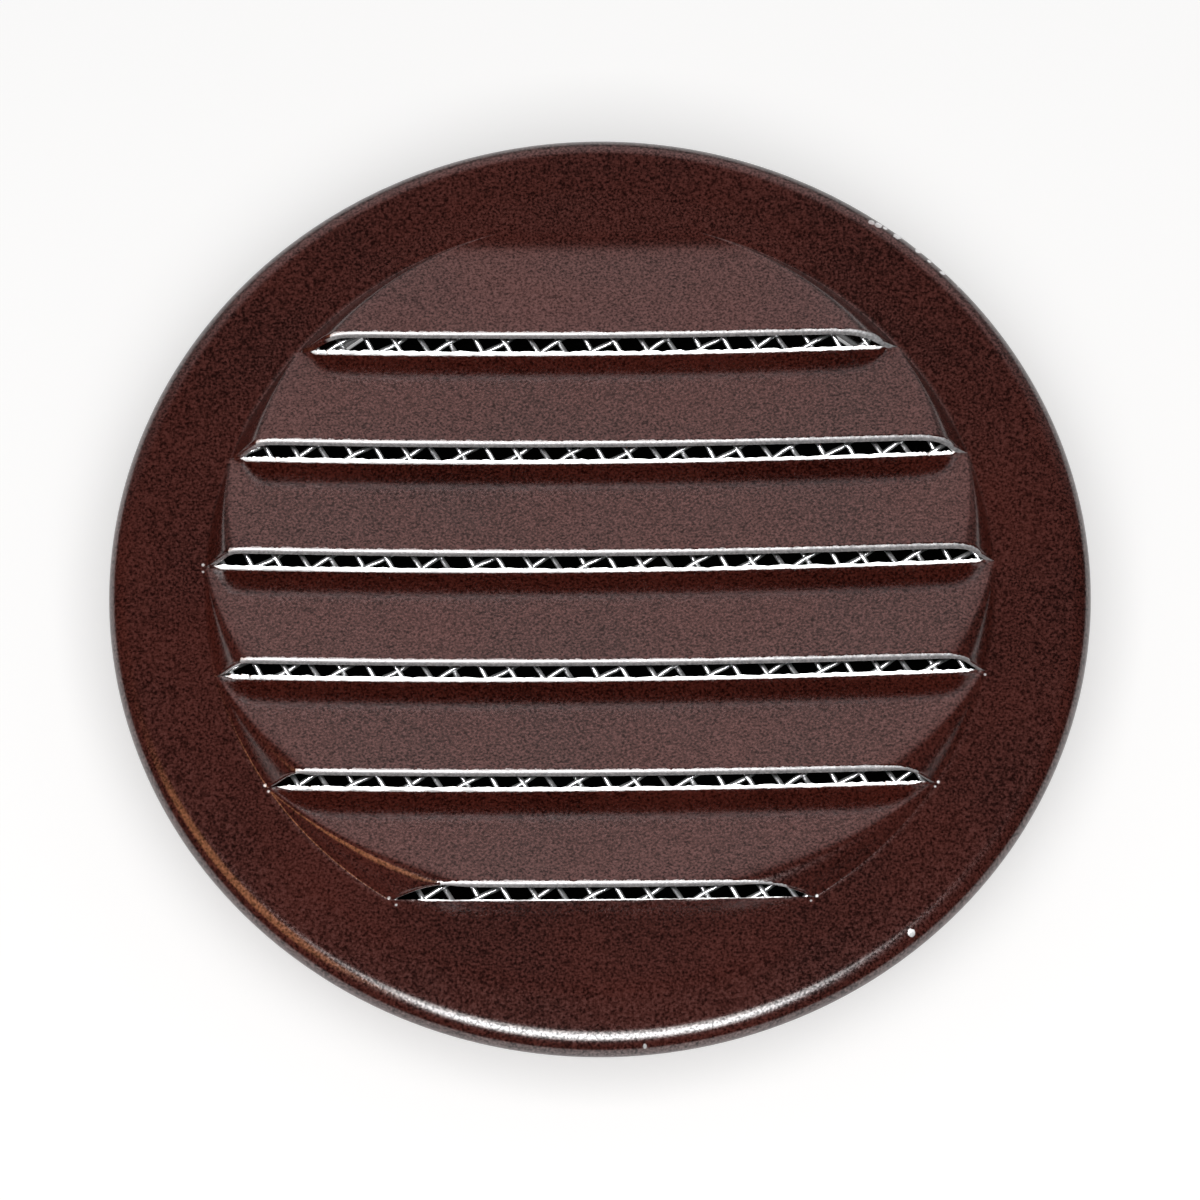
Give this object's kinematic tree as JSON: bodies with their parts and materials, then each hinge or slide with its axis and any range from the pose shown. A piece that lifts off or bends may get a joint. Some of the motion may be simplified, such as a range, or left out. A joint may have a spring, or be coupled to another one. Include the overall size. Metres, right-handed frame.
{
  "type": "round mini louver",
  "caption": "Round painted sheet-metal vent louver with lanced hoods and a rolled rim, a wire insect screen behind them, and a sleeve collar that pushes into a wall or soffit hole.",
  "frame": {"origin": "centre of the collar's back end, where the part stands when it lies face up", "axes": "+Z along the collar's axis, out of the louvred face; slots along X; hoods open towards -Y"},
  "size_m": [0.0566, 0.0566, 0.013],
  "materials": {
    "face_paint": "satin brown baked paint on aluminium sheet, bare metal at the lanced edges",
    "screen_wire": "bright drawn wire, plain weave",
    "collar_paint": "satin brown baked paint on aluminium sheet"
  },
  "bodies": {
    "root": {"louver_face": "face_paint", "insect_screen": "screen_wire", "collar": "collar_paint"}
  },
  "joints": []
}
